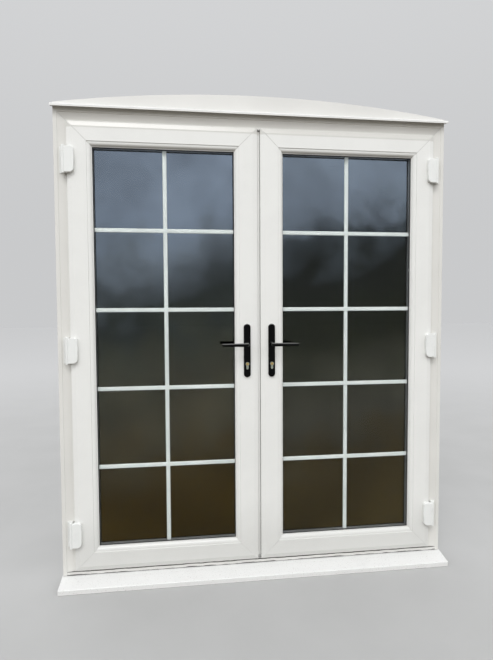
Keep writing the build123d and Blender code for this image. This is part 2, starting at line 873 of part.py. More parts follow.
with BuildPart() as hinge_covers:
    for height in hinge_heights:
        with BuildSketch(facing(0)):
            add(cover_outline(height))
        extrude(amount=cover_depth)
    front_edges = hinge_covers.faces().filter_by(Axis.Y).sort_by(Axis.Y)[:len(hinge_heights)].edges()
    fillet(front_edges, cover_edge)
    for height in hinge_heights:
        bottom, split_low, split_high, top = hinge_levels(height)
        with BuildSketch(facing(0)):
            add(cover_outline(height))
            offset(amount=-cover_wall, kind=Kind.INTERSECTION)
            with Locations((hinge_x, height)):
                Rectangle(2 * knuckle_wall_radius, hinge_height, mode=Mode.SUBTRACT)
        extrude(amount=cover_depth - cover_wall, mode=Mode.SUBTRACT)
        knuckle(bottom, top, Mode.SUBTRACT, knuckle_radius + cover_clearance)
        block((flag_end, -flag_thickness - cover_clearance, split_low),
              (hinge_x, 0, split_high), Mode.SUBTRACT)
write_pair(hinge_covers, "hinge_covers")

# Handle backplates, outside and inside
plate_middle = (plate_top + plate_bottom) / 2
with BuildPart() as outer_plate:
    with BuildSketch(facing(0)):
        with Locations((handle_x, plate_middle)):
            SlotOverall(plate_top - plate_bottom, plate_width, rotation=90)
    extrude(amount=plate_thickness)
    fillet(outer_plate.faces().sort_by(Axis.Y)[0].edges(), plate_edge)
    rod(handle_x, spindle_z, -plate_thickness, 0, collar_radius + collar_clearance, Mode.SUBTRACT)
    cylinder_bar(-plate_thickness, 0, profile_clearance, Mode.SUBTRACT)

leaf_mid_plane = Plane.XZ.offset(-leaf_depth / 2)
with BuildPart() as handle_plates:
    add(outer_plate.part)
    mirror(about=leaf_mid_plane)
write_pair(handle_plates, "handle_plates")

# Lever: a collar in the backplate, an oval neck that bends to the side, and an arm that thins to its tip
bend_end_x = handle_x + lever_bend
neck_end_y = lever_bend - lever_reach
arm_z = spindle_z - lever_drop
with BuildPart() as lever:
    rod(handle_x, spindle_z, -collar_length, 0, collar_radius)
    with BuildSketch(facing(-collar_length)):
        with Locations((handle_x, arm_z)):
            Ellipse(lever_width, lever_height)
    extrude(amount=-collar_length - neck_end_y)
    with BuildSketch(facing(neck_end_y)):
        with Locations((handle_x, arm_z)):
            Ellipse(lever_width, lever_height)
    revolve(axis=Axis((bend_end_x, neck_end_y, 0), (0, 0, 1)), revolution_arc=90)
    with BuildSketch(Plane.YZ.offset(bend_end_x)):
        with Locations((-lever_reach, arm_z)):
            Ellipse(lever_width, lever_height)
    with BuildSketch(Plane.YZ.offset(handle_x + lever_length)):
        with Locations((-lever_reach, arm_z)):
            Ellipse(tip_width, tip_height)
    loft()
    fillet(lever.faces().sort_by(Axis.X)[-1].edges(), tip_edge)
    block((handle_x - spindle_size / 2, -spindle_reach, spindle_z - spindle_size / 2),
          (handle_x + spindle_size / 2, 0, spindle_z + spindle_size / 2), Mode.SUBTRACT)
write_pair(lever, "outer_lever")

with BuildPart() as inner_lever:
    mirror(lever.part, about=leaf_mid_plane)
write_pair(inner_lever, "inner_lever")

with BuildPart() as spindle:
    block((handle_x - spindle_size / 2, -spindle_reach, spindle_z - spindle_size / 2),
          (handle_x + spindle_size / 2, leaf_depth + spindle_reach, spindle_z + spindle_size / 2))
    rod(handle_x, spindle_z, case_low_y, case_high_y, hub_radius)
write_pair(spindle, "spindle")

# Lock cylinder: a fixed body, and a plug through it with a cam in the middle
cylinder_front = -plate_thickness - cylinder_proud
cylinder_back = leaf_depth + plate_thickness + cylinder_proud
with BuildPart() as cylinder_body:
    cylinder_bar(cylinder_front, cylinder_back)
    rod(handle_x, cylinder_z, cylinder_front, cylinder_back, plug_radius + plug_clearance, Mode.SUBTRACT)
    block((handle_x - barrel_radius, hardware_y - cam_slot / 2, cylinder_z - cam_radius - cam_clearance),
          (handle_x + barrel_radius, hardware_y + cam_slot / 2, cylinder_z + barrel_radius), Mode.SUBTRACT)
write_pair(cylinder_body, "cylinder_body")

with BuildPart() as cylinder_plug:
    rod(handle_x, cylinder_z, cylinder_front - plug_proud, cylinder_back + plug_proud, plug_radius)
    block((handle_x - cam_finger / 2, hardware_y - cam_width / 2, cylinder_z),
          (handle_x + cam_finger / 2, hardware_y + cam_width / 2, cylinder_z + cam_radius))
    for face_y, inwards in ((cylinder_front - plug_proud, 1), (cylinder_back + plug_proud, -1)):
        with Locations((handle_x, face_y + inwards * keyway_depth / 2, cylinder_z)):
            Box(keyway_width, keyway_depth, keyway_height, mode=Mode.SUBTRACT)
write_pair(cylinder_plug, "cylinder_plug")

# Lock: a faceplate in the leaf's groove with the main case behind it, and two hook cases on the right leaf
strip_low_y = hardware_y - strip_seat / 2 + strip_clearance
strip_high_y = hardware_y + strip_seat / 2 - strip_clearance
hook_low_y, hook_high_y = hardware_y - hook_thickness / 2, hardware_y + hook_thickness / 2
latch_low_y, latch_high_y = channel_low + slide_gap, channel_high - slide_gap
latch_low_z, latch_high_z = latch_z - latch_height / 2, latch_z + latch_height / 2
latch_tip = strip_front - latch_throw
latch_back = latch_tip + latch_length
strip_bottom, strip_top = leaf_bottom + strip_ends, leaf_top - strip_ends


def lock_case():
    """The faceplate and the main case, with its holes for the follower, the cylinder and its cam."""
    block((strip_front, strip_low_y, strip_bottom), (strip_back, strip_high_y, strip_top))
    block(case_low, case_high)
    rod(handle_x, spindle_z, case_low_y, case_high_y, hub_radius + hub_clearance, Mode.SUBTRACT)
    cylinder_bar(case_low_y, case_high_y, profile_clearance, Mode.SUBTRACT)
    rod(handle_x, cylinder_z, hardware_y - cam_slot / 2 - slide_gap, hardware_y + cam_slot / 2 + slide_gap,
        cam_radius + cam_clearance, Mode.SUBTRACT)


with BuildPart() as right_lock:
    lock_case()
    block((strip_front, channel_low, latch_low_z - slide_gap),
          (latch_back + latch_throw + slide_gap, channel_high, latch_high_z + slide_gap), Mode.SUBTRACT)
    for height in hook_heights:
        case_start, case_end = hook_case_corners(height)
        block(case_start, case_end)
        block((strip_front, hook_low_y - slide_gap, height - hook_half - hook_clearance),
              (case_end[0] - case_wall, hook_high_y + slide_gap, case_end[2] - case_wall), Mode.SUBTRACT)
        rod(hook_x, height, case_low_y, case_high_y, hook_pin_radius)
write(right_lock, "right_lock_cases")

with BuildPart() as left_lock:
    lock_case()
write_left(left_lock, "left_lock_case")

with BuildPart() as latch_bolt:
    block((latch_tip, latch_low_y, latch_low_z), (latch_back, latch_high_y, latch_high_z))
    nose = latch_bolt.edges().filter_by(Axis.Z).group_by(Axis.X)[0].sort_by(Axis.Y)[-1]
    chamfer(nose, latch_bevel)
write(latch_bolt, "latch_bolt")

# Swing hooks: each lies upright in its case and turns a quarter turn out through the faceplate
for height, label in zip(hook_heights, ("lower", "upper")):
    with BuildPart() as hook:
        with BuildSketch(facing(hook_high_y)):
            with BuildLine():
                Polyline(
                    (hook_x - hook_half, height),
                    (hook_x - hook_half, height + hook_length - hook_nose),
                    (hook_x - hook_half - hook_barb, height + hook_length - hook_nose),
                    (hook_x - hook_half - hook_barb, height + hook_length - hook_half),
                    (hook_x - hook_half, height + hook_length),
                    (hook_x + hook_half, height + hook_length - hook_half),
                    (hook_x + hook_half, height),
                    close=True,
                )
            make_face()
            with Locations((hook_x, height)):
                Circle(hook_half)
                Circle(hook_pin_radius + pin_clearance, mode=Mode.SUBTRACT)
        extrude(amount=hook_thickness)
    write(hook, f"hook_bolt_{label}")

# Shootbolts: flat rods behind the left leaf's faceplate, one up and one down
rod_low_x, rod_high_x = strip_back + slide_gap, strip_back + slide_gap + rod_thickness
body_top, body_bottom = leaf_top - flange_width, leaf_bottom + flange_width
with BuildPart() as shootbolt_top:
    block((rod_low_x, latch_low_y, case_top + rod_start), (rod_high_x, latch_high_y, body_top - bolt_setback))
    chamfer(shootbolt_top.faces().sort_by(Axis.Z)[-1].edges(), edge_radius)
write_left(shootbolt_top, "shootbolt_top")

with BuildPart() as shootbolt_bottom:
    block((rod_low_x, latch_low_y, body_bottom + bolt_setback),
          (rod_high_x, latch_high_y, case_bottom - rod_start))
    chamfer(shootbolt_bottom.faces().sort_by(Axis.Z)[0].edges(), edge_radius)
write_left(shootbolt_bottom, "shootbolt_bottom")

# Floating mullion on the left leaf: it fills the gap between the leaves and carries the keeps
mullion_bottom = sill_rebate + mullion_end_gap
mullion_top = head_rebate - mullion_end_gap
cap_bottom = leaf_bottom + upstand_v - leaf_reveal + mullion_end_gap
cap_top = frame_top - upstand_v - mullion_end_gap
keep_slot_low, keep_slot_high = hook_low_y - hook_clearance / 3, hook_high_y + hook_clearance / 3
hook_drop = hook_half + hook_barb + hook_clearance
hook_entry = sqrt(hook_swing**2 - (hook_x - mullion_edge - keep_thickness)**2) + hook_clearance
pocket_floor = hook_x - hook_swing - hook_clearance
latch_pocket = latch_throw
with BuildPart() as floating_mullion:
    with BuildSketch(Plane.XY.offset(mullion_bottom)):
        with BuildLine():
            Polyline(
                (-body_edge, frame_face),
                (mullion_nose, frame_face),
                (mullion_nose, frame_face + nose_thickness),
                (mullion_edge, frame_face + nose_thickness),
                (mullion_edge, leaf_depth),
                (-body_edge, leaf_depth),
                close=True,
            )
        make_face()
    extrude(amount=mullion_top - mullion_bottom)
    with BuildSketch(Plane.XY.offset(cap_bottom)):
        cap_span = body_edge + mullion_cap_lap + mullion_edge
        with Locations((mullion_edge - cap_span / 2, leaf_depth + mullion_cap / 2)):
            Rectangle(cap_span, mullion_cap)
    extrude(amount=cap_top - cap_bottom)
    for height in hook_heights:
        block((pocket_floor, keep_slot_low, height - hook_drop),
              (mullion_edge, keep_slot_high, height + hook_entry), Mode.SUBTRACT)
    block((mullion_edge - latch_pocket, channel_low, latch_low_z - slide_gap),
          (mullion_edge, channel_high, latch_high_z + slide_gap), Mode.SUBTRACT)
write(floating_mullion, "left_floating_mullion")

with BuildPart() as lock_keeps:
    for height in hook_heights:
        block((mullion_edge, strip_low_y, height - hook_drop - keep_margin),
              (mullion_edge + keep_thickness, strip_high_y, height + hook_entry + keep_margin))
        block((mullion_edge, keep_slot_low, height - hook_half - hook_clearance / 3),
              (mullion_edge + keep_thickness, keep_slot_high, height + hook_entry), Mode.SUBTRACT)
    block((mullion_edge, strip_low_y, latch_low_z - keep_margin),
          (mullion_edge + keep_thickness, strip_high_y, latch_high_z + keep_margin))
    block((mullion_edge, channel_low, latch_low_z - slide_gap),
          (mullion_edge + keep_thickness, channel_high, latch_high_z + slide_gap), Mode.SUBTRACT)
write(lock_keeps, "left_lock_keeps")

# Meeting seal: a bulb on a neck along the right leaf's edge
with BuildPart() as meeting_seal:
    with BuildSketch(Plane.XY.offset(mullion_bottom)):
        with Locations((seal_bulb_x, seal_bulb_y)):
            Circle(seal_bulb_radius)
        with Locations(((seal_bulb_x + body_edge) / 2, seal_bulb_y)):
            Rectangle(body_edge - seal_bulb_x, seal_neck)
    extrude(amount=mullion_top - mullion_bottom)
write(meeting_seal, "right_meeting_seal")
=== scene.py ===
# %% [markdown]
# # White plastic french doors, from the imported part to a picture
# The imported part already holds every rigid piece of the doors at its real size: the welded frame and
# leaves, the sealed glass units, the hinges, the locks and the cill. This script gives each of them the
# surface that the real material has, adds the small things that welding and fitting leave behind, and
# then lights and frames the picture. Lengths are in metres. X runs along the wall, Y into the house and
# Z up, and the front faces of the closed leaves lie on y = 0.

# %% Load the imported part
from math import pi, radians

import bpy
from mathutils import Matrix, Vector


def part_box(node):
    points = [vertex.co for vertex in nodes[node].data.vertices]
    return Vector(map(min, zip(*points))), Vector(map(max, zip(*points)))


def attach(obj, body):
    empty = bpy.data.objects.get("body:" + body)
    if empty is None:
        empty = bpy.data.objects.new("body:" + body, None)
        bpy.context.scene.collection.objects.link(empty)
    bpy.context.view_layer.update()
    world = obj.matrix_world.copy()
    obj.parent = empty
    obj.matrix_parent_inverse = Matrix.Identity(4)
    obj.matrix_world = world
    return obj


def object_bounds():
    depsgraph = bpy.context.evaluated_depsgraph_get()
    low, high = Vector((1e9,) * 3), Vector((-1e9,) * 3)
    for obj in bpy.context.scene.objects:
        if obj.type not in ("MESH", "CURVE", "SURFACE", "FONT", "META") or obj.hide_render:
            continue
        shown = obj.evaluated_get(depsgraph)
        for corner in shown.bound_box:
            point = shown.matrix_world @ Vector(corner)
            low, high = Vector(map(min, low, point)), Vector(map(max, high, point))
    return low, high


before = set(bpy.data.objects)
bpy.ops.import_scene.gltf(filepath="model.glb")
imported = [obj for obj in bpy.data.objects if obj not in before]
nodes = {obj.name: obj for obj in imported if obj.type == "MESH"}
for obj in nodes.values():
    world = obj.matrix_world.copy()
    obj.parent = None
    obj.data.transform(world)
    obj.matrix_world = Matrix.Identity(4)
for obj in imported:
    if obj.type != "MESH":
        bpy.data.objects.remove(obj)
box_after_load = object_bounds()
print("CAD nodes:", len(nodes))
print("box after loading:", [tuple(round(value, 4) for value in corner) for corner in box_after_load])

# %% [markdown]
# ## Places on the leaves
# Everything that is added later sits on the leaves. Their edges could be typed in as numbers, but then
# a changed part would leave the additions behind, so they are read from the part itself. The left leaf
# is the mirror image of the right one, and only the right one is measured.

# %% Measure the right leaf
MM = 0.001
rail_low, rail_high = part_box("right_top_rail")
leaf_inner = rail_low.x
leaf_outer = rail_high.x
leaf_top = rail_high.z
leaf_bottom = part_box("right_hinge_stile")[0].z
leaf_middle = Vector(((leaf_inner + leaf_outer) / 2, 0, (leaf_bottom + leaf_top) / 2))
print(f"leaf {leaf_outer - leaf_inner:.3f} m wide, {leaf_top - leaf_bottom:.3f} m high")

# %% [markdown]
# ## The nodes that every finish shares
# Moulded plastic, powder coat, rubber and zinc differ in colour and gloss, but they vary in the same
# ways: broad faint patches from handling and weather, a fine grain, and a roughness that follows both.
# Pictures of the materials could show that, but each piece would have to be unwrapped for them. Noise
# nodes need no unwrapping. They use Object coordinates, which are the real metres of the part, so a
# grain of half a millimetre is that size everywhere.

# %% A new material, places and noise
def new_material(name):
    """A material with its node tree, and its Principled shader."""
    material = bpy.data.materials.new(name)
    material.use_nodes = True
    return material, material.node_tree, material.node_tree.nodes["Principled BSDF"]


def object_coordinates(tree):
    """The output that gives each point its place in metres."""
    return tree.nodes.new("ShaderNodeTexCoord").outputs["Object"]


def noise(tree, coordinates, size, detail=2.0):
    """Soft random spots of about one size in metres."""
    texture = tree.nodes.new("ShaderNodeTexNoise")
    texture.inputs["Scale"].default_value = 1 / size
    texture.inputs["Detail"].default_value = detail
    tree.links.new(coordinates, texture.inputs["Vector"])
    return texture.outputs["Fac"]


def spread(tree, value, low, high, start=0.3, end=0.7):
    """A value turned softly from the range start to end into the range low to high."""
    mapping = tree.nodes.new("ShaderNodeMapRange")
    mapping.interpolation_type = "SMOOTHSTEP"
    tree.links.new(value, mapping.inputs["Value"])
    mapping.inputs["From Min"].default_value = start
    mapping.inputs["From Max"].default_value = end
    mapping.inputs["To Min"].default_value = low
    mapping.inputs["To Max"].default_value = high
    return mapping.outputs["Result"]


# %% Sums and mixtures
def calculated(tree, operation, *values):
    """One step of arithmetic. Each value is a number or what another node gives."""
    node = tree.nodes.new("ShaderNodeMath")
    node.operation = operation
    for socket, value in zip(node.inputs, values):
        if isinstance(value, (int, float)):
            socket.default_value = value
        else:
            tree.links.new(value, socket)
    return node.outputs["Value"]


def mixed_value(tree, factor, first, second):
    """A number between two numbers that come from other nodes."""
    mix = tree.nodes.new("ShaderNodeMix")
    for output, name in ((factor, "Factor"), (first, "A"), (second, "B")):
        tree.links.new(output, mix.inputs[name])
    return mix.outputs["Result"]


def mixed_colour(tree, factor, first, second):
    """A colour between two others. Each is a plain colour or what another node gives."""
    mix = tree.nodes.new("ShaderNodeMix")
    mix.data_type = "RGBA"
    tree.links.new(factor, mix.inputs["Factor"])
    for name, colour in (("A", first), ("B", second)):
        if isinstance(colour, tuple):
            mix.inputs[name].default_value = (*colour, 1)
        else:
            tree.links.new(colour, mix.inputs[name])
    return mix.outputs["Result"]


# %% Height, and the way a face looks
def axes_of(tree, vector):
    """The X, Y and Z of a vector, as three outputs."""
    split = tree.nodes.new("ShaderNodeSeparateXYZ")
    tree.links.new(vector, split.inputs["Vector"])
    return split.outputs


def height(tree):
    """The height of each point in metres."""
    return axes_of(tree, object_coordinates(tree))["Z"]


def upward(tree):
    """How far each face looks up: 1 for a top, 0 for a side and -1 for an underside."""
    return axes_of(tree, tree.nodes.new("ShaderNodeTexCoord").outputs["Normal"])["Z"]


# %% [markdown]
# ## Dirt and painted shade
# New plastic is even, and what makes it look real outdoors is where dirt stays. Rain washes the faces
# that it reaches. So dirt stays on undersides, dust settles on tops, drops dry to small spots, and a
# joint keeps a dark line. The darker undersides and joint lines also paint their shade, the pale tops
# also paint a highlight on the black handles, and bands at some heights paint the drip trim's shade
# and darken the foot of the leaves. These could be painted by hand, piece by piece. The way a face
# looks and its height say the same for all pieces at once, so the masks are made from them, and each
# kind of dirt or painted shade is a thin layer over the rest.

# %% Dirt and painted shade underneath, dust and a painted highlight on top, and spots
underside_grime_and_shade_colour = (0.30, 0.265, 0.22)
dust_and_highlight_colour = (0.45, 0.45, 0.44)
spot_colour = (0.33, 0.31, 0.28)
spot_size = 3.5 * MM


def underside_grime_and_shade(tree, base, strength):
    """Dirt that rain never washes off the faces that look down, darkened further to paint their shade."""
    looks_down = spread(tree, upward(tree), strength, 0, -0.9, -0.1)
    return mixed_colour(tree, looks_down, base, underside_grime_and_shade_colour)


def dust_and_highlight_on_tops(tree, base, strength):
    """Pale dust on the faces that look up, which on the black handles also paints a highlight."""
    looks_up = spread(tree, upward(tree), 0, strength, 0.2, 0.9)
    return mixed_colour(tree, looks_up, base, dust_and_highlight_colour)


def flecks(tree, base, strength):
    """Small grey spots of dust and dried rain."""
    spots = spread(tree, noise(tree, object_coordinates(tree), spot_size, 0.0), 0, strength, 0.72, 0.80)
    return mixed_colour(tree, spots, base, spot_colour)


print("spots of", spot_size / MM, "mm")


# %% Darkening that fades with height, and dark lines of dirt and painted shade in joints
joint_dirt_and_shade_colour = (0.045, 0.042, 0.038)
joint_strength = 0.92
wave_size = 50 * MM


def darkening_by_height(tree, base, low, high, strength_low, strength_high, colour):
    """A darker tone that is stronger at one of two heights: painted shade of the drip trim, or a darker
    foot.
    """
    fade = spread(tree, height(tree), strength_low, strength_high, low, high)
    return mixed_colour(tree, fade, base, colour)


def joint_dirt_and_shade_line(tree, base, level, thickness):
    """A dark wavy line at one height in a joint: the dirt that rain leaves there and painted shade in the
    gap.
    """
    waves = noise(tree, object_coordinates(tree), wave_size, 3.0)
    wave = spread(tree, waves, -0.5 * thickness, 0.5 * thickness)
    wavy_height = calculated(tree, "ADD", height(tree), wave)
    distance = calculated(tree, "ABSOLUTE", calculated(tree, "SUBTRACT", wavy_height, level))
    near = spread(tree, distance, joint_strength, 0, 0.4 * thickness, thickness)
    return mixed_colour(tree, near, base, joint_dirt_and_shade_colour)


print("joint dirt waves every", wave_size / MM, "mm")


# %% [markdown]
# ## One coating for all finishes
# Each finish could have its own node tree. They would differ only in numbers, so one helper builds the
# tree, and a finish is then a line of values: a colour with darker patches, an uneven roughness, and a
# relief of at most a few hundredths of a millimetre that breaks up the gloss.

# %% The coating
def coating(name, colour, roughness, shade, patch, grain=0.6 * MM, relief=0.01 * MM, metallic=0.0,
            gloss=0.5, grime_and_shade=0.0, dust=0.0, spots=0.0, fades=(), joint_lines=()):
    """A finish whose colour, gloss and relief all vary a little."""
    material, tree, shader = new_material(name)
    place = object_coordinates(tree)
    patches = noise(tree, place, patch, 4.0)
    fine = noise(tree, place, grain)
    darker = tuple(channel * (1 - shade) for channel in colour)
    base = mixed_colour(tree, spread(tree, patches, 0, 1), darker, colour)
    if spots:
        base = flecks(tree, base, spots)
    if dust:
        base = dust_and_highlight_on_tops(tree, base, dust)
    if grime_and_shade:
        base = underside_grime_and_shade(tree, base, grime_and_shade)
    for fade in fades:
        base = darkening_by_height(tree, base, *fade)
    for level, thickness in joint_lines:
        base = joint_dirt_and_shade_line(tree, base, level, thickness)
    tree.links.new(base, shader.inputs["Base Color"])
    uneven = calculated(tree, "ADD", spread(tree, patches, 0.9 * roughness, 1.1 * roughness),
                        spread(tree, fine, -0.02, 0.02))
    tree.links.new(uneven, shader.inputs["Roughness"])
    bump = tree.nodes.new("ShaderNodeBump")
    bump.inputs["Distance"].default_value = relief
    tree.links.new(fine, bump.inputs["Height"])
    tree.links.new(bump.outputs["Normal"], shader.inputs["Normal"])
    shader.inputs["Metallic"].default_value = metallic
    shader.inputs["Specular IOR Level"].default_value = gloss
    return material


# %% [markdown]
# ## White finishes
# The frame and the leaves are white plastic that has turned a little yellow or grey, and the frame's
# greyer white also partly paints the shade of its recess. The lowest part of the leaves grows darker
# towards the foot. Under the drip trim the frame's head and the top edge of the leaves carry painted
# shade of the trim, and two dark lines of dirt and painted shade mark the joints of the threshold, which
# is powder coated metal. One white for all of them would make the doors look like a single moulding, so
# each kind of piece has its own.

# %% Where the dirt and the painted shade lie
threshold_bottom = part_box("threshold")[0].z
frame_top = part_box("frame_head")[1].z
# Dark lines of dirt and painted shade at the threshold's foot and just below the leaves.
joint_lines = ((threshold_bottom + 1.5 * MM, 3.8 * MM), (leaf_bottom - 5 * MM, 2.4 * MM))
# Darker towards the foot of the leaves.
darker_foot = (leaf_bottom, leaf_bottom + 320 * MM, 0.38, 0, (0.45, 0.445, 0.42))
# Painted shade of the drip trim on the top edge of the leaves.
painted_drip_shade_on_leaf = (leaf_top - 30 * MM, leaf_top - 22 * MM, 0, 0.44, (0.45, 0.43, 0.38))
# Painted shade of the drip trim on the frame's head.
painted_drip_shade_on_head = (frame_top - 55 * MM, frame_top, 0.1, 0.26, (0.45, 0.40, 0.32))
print("dark lines at", [round(level / MM, 1) for level, thickness in joint_lines], "mm")

# %% Plastic of the leaves, the frame, the panel, the cill and the drip trim
# In these finishes the darkened undersides are partly dirt and partly painted shade.
smooth = {"grain": 1.5 * MM, "relief": 0.012 * MM}
finishes = {}
finishes["leaf"] = coating("leaf_plastic", (0.816, 0.816, 0.79), roughness=0.28, shade=0.03, patch=0.4,
                           grime_and_shade=0.5, dust=0.1, spots=0.1, fades=(darker_foot, painted_drip_shade_on_leaf), **smooth)
# The frame's greyer white is partly its own tone and partly painted shade of its recess.
finishes["frame"] = coating("frame_plastic", (0.775, 0.77, 0.738), roughness=0.32, shade=0.06, patch=0.3,
                            grime_and_shade=0.6, spots=0.07, fades=(painted_drip_shade_on_head,), **smooth)
finishes["panel"] = coating("panel_plastic", (0.755, 0.748, 0.72), roughness=0.36, shade=0.05, patch=0.3,
                            spots=0.07, **smooth)
finishes["cill"] = coating("cill_plastic", (0.80, 0.80, 0.785), roughness=0.3, shade=0.03, patch=0.2,
                           dust=0.12, spots=0.6, **smooth)
finishes["drip"] = coating("drip_plastic", (0.755, 0.755, 0.735), roughness=0.28, shade=0.04, patch=0.2,
                           grime_and_shade=0.9, spots=0.07, **smooth)
print("plastic finishes:", len(finishes))

# %% Powder coat on the threshold and the hinges, and white paint on the bars
# The darkened undersides and the joint lines of the threshold and the hinges are dirt and painted shade.
finishes["threshold"] = coating("threshold_powder", (0.70, 0.69, 0.66), roughness=0.42, shade=0.08,
                                patch=0.1, grain=0.4 * MM, relief=0.02 * MM, grime_and_shade=0.8,
                                joint_lines=joint_lines)
finishes["bar"] = coating("bar_paint", (0.73, 0.757, 0.745), roughness=0.4, shade=0.03, patch=0.1,
                          grain=0.5 * MM)
finishes["hinge"] = coating("hinge_powder", (0.82, 0.83, 0.81), roughness=0.3, shade=0.03, patch=0.05,
                            grain=0.7 * MM, relief=0.02 * MM, grime_and_shade=0.4)
print("white finishes:", len(finishes))

# %% [markdown]
# ## Rubber, metal and black powder coat
# Soft seals are matt. Bright zinc, nickel and brass are metals, so their colour shows in what they
# mirror. The handles are black powder coat: nearly no colour of its own, a low gloss, and a pale tone
# on the upper sides, partly dust and partly a painted highlight, which draws the thin pale line along the
# levers.

# %% Seals and gaskets
rubber = {"patch": 0.08, "grain": 0.4 * MM, "relief": 0.03 * MM}
finishes["seal"] = coating("seal_rubber", (0.30, 0.30, 0.29), roughness=0.75, shade=0.15, gloss=0.3,
                           **rubber)
finishes["gasket"] = coating("gasket_rubber", (0.01, 0.01, 0.01), roughness=0.6, shade=0.3, gloss=0.25,
                             **rubber)
print("with rubber:", len(finishes))

# %% Metals and handles
metal = {"grain": 0.3 * MM, "metallic": 1.0}
finishes["zinc"] = coating("bright_zinc", (0.62, 0.63, 0.64), roughness=0.34, shade=0.12, patch=0.02,
                           **metal)
finishes["lock_zinc"] = coating("lock_zinc", (0.55, 0.56, 0.57), roughness=0.3, shade=0.15, patch=0.03,
                                **metal)
finishes["nickel"] = coating("cylinder_nickel", (0.40, 0.43, 0.36), roughness=0.3, shade=0.1, patch=0.01,
                             **metal)
finishes["brass"] = coating("plug_brass", (0.60, 0.44, 0.18), roughness=0.28, shade=0.15, patch=0.005,
                            **metal)
finishes["spacer"] = coating("spacer_metal", (0.30, 0.305, 0.31), roughness=0.45, shade=0.08, patch=0.02,
                             grain=0.3 * MM, metallic=0.6)
# The pale tone on the handles' upper sides is partly dust and partly a painted highlight.
finishes["handle"] = coating("handle_powder", (0.0012, 0.0012, 0.0015), roughness=0.2, shade=0.2,
                             patch=0.04, grain=0.5 * MM, gloss=0.09, dust=0.4)
print("all finishes:", len(finishes))

# %% [markdown]
# ## Glass
# Two panes stand on both sides of the spacer, and the room behind them is dark. The outer pane is clear
# glass. A room could be built behind the doors, but it isn't part of them. So the inner pane is glass
# with a tint that stands for it and for what the glass mirrors: a painted reflection of the sky in cool
# grey at the top, a ragged painted line of treetops, and the room's painted darkness in warm dark olive
# at the foot. Shadow rays pass both panes, because in Cycles a glass pane would otherwise throw a dark
# shadow on the bars and the beads behind it.

# %% Smooth glass that casts no shadow
def let_light_through(tree, shader):
    """Mix a glass shader with a clear one, which only shadow rays meet."""
    clear = tree.nodes.new("ShaderNodeBsdfTransparent")
    light_path = tree.nodes.new("ShaderNodeLightPath")
    glass_mix = tree.nodes.new("ShaderNodeMixShader")
    tree.links.new(light_path.outputs["Is Shadow Ray"], glass_mix.inputs["Fac"])
    tree.links.new(shader.outputs["BSDF"], glass_mix.inputs[1])
    tree.links.new(clear.outputs["BSDF"], glass_mix.inputs[2])
    tree.links.new(glass_mix.outputs["Shader"], tree.nodes["Material Output"].inputs["Surface"])


def smooth_glass(name, refraction):
    """A glass that bends light as much as its refraction says."""
    material, tree, shader = new_material(name)
    shader.inputs["Transmission Weight"].default_value = 1.0
    shader.inputs["IOR"].default_value = refraction
    shader.inputs["Roughness"].default_value = 0.0
    let_light_through(tree, shader)
    return material, tree, shader


smear_size = 200 * MM
outer_glass, tree, shader = smooth_glass("outer_glass", 1.18)
smears = noise(tree, object_coordinates(tree), smear_size, 3.0)
outer_tint = mixed_colour(tree, spread(tree, smears, 0, 1), (0.90, 0.92, 0.91), (0.94, 0.96, 0.95))
tree.links.new(outer_tint, shader.inputs["Base Color"])
print("outer pane bends light by", round(shader.inputs["IOR"].default_value, 2))

# %% [markdown]
# ## A tint with a painted reflection
# The upper part of the glass mirrors the sky, and below it the room looks dark; both are painted into
# the tint of the inner pane, as a painted reflection and painted darkness. The edge between the two is
# ragged like treetops and climbs towards the right. A painted picture could show it, but the values of
# a few nodes are enough: a slope and some noise shift the height of each point, and a row of colours
# gives every shifted height its tint. The two leaves mirror different parts of the sky, so each has its
# own row.

# %% How high each point of the inner pane is against the painted skyline
skyline_slope = -0.22
treetop_size = 160 * MM
raggedness = 70 * MM
pane_low, pane_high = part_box("right_outer_pane")
inner_glass, tree, shader = smooth_glass("inner_glass", 1.12)
place = object_coordinates(tree)
axes = axes_of(tree, place)
slope = calculated(tree, "MULTIPLY_ADD", axes["X"], skyline_slope, axes["Z"])
ragged = spread(tree, noise(tree, place, treetop_size, 5.0), -raggedness, raggedness)
skyline = calculated(tree, "ADD", slope, ragged)
along_glass = spread(tree, skyline, 0, 1, pane_low.z, pane_high.z)
print("panes from", round(pane_low.z, 3), "to", round(pane_high.z, 3))


# %% Painted reflection and darkness of the inner pane, from the foot to the top
def tints(tree, place_along, stops):
    """A row of colours along a value from 0 to 1."""
    row = tree.nodes.new("ShaderNodeValToRGB")
    row.color_ramp.elements[0].color = (*stops[0][1], 1)
    row.color_ramp.elements[1].color = (*stops[-1][1], 1)
    for stop, colour in stops[1:-1]:
        row.color_ramp.elements.new(stop).color = (*colour, 1)
    tree.links.new(place_along, row.inputs["Fac"])
    return row.outputs["Color"]


# Each row paints the sky's reflection at the top and the room's darkness below.
left_painted_sky_and_room = (
    (0, (0.070, 0.044, 0.005)), (0.06, (0.071, 0.045, 0.007)), (0.28, (0.086, 0.077, 0.049)),
    (0.57, (0.052, 0.057, 0.042)), (0.70, (0.034, 0.042, 0.039)), (0.80, (0.085, 0.102, 0.116)),
    (0.90, (0.185, 0.222, 0.268)), (0.96, (0.270, 0.330, 0.425)), (1, (0.305, 0.370, 0.475)),
)
right_painted_sky_and_room = (
    (0, (0.076, 0.055, 0.018)), (0.05, (0.075, 0.056, 0.022)), (0.16, (0.076, 0.073, 0.055)),
    (0.43, (0.020, 0.023, 0.012)), (0.72, (0.016, 0.019, 0.016)), (0.82, (0.070, 0.086, 0.100)),
    (0.90, (0.235, 0.285, 0.355)), (0.95, (0.275, 0.332, 0.420)), (1, (0.290, 0.350, 0.440)),
)
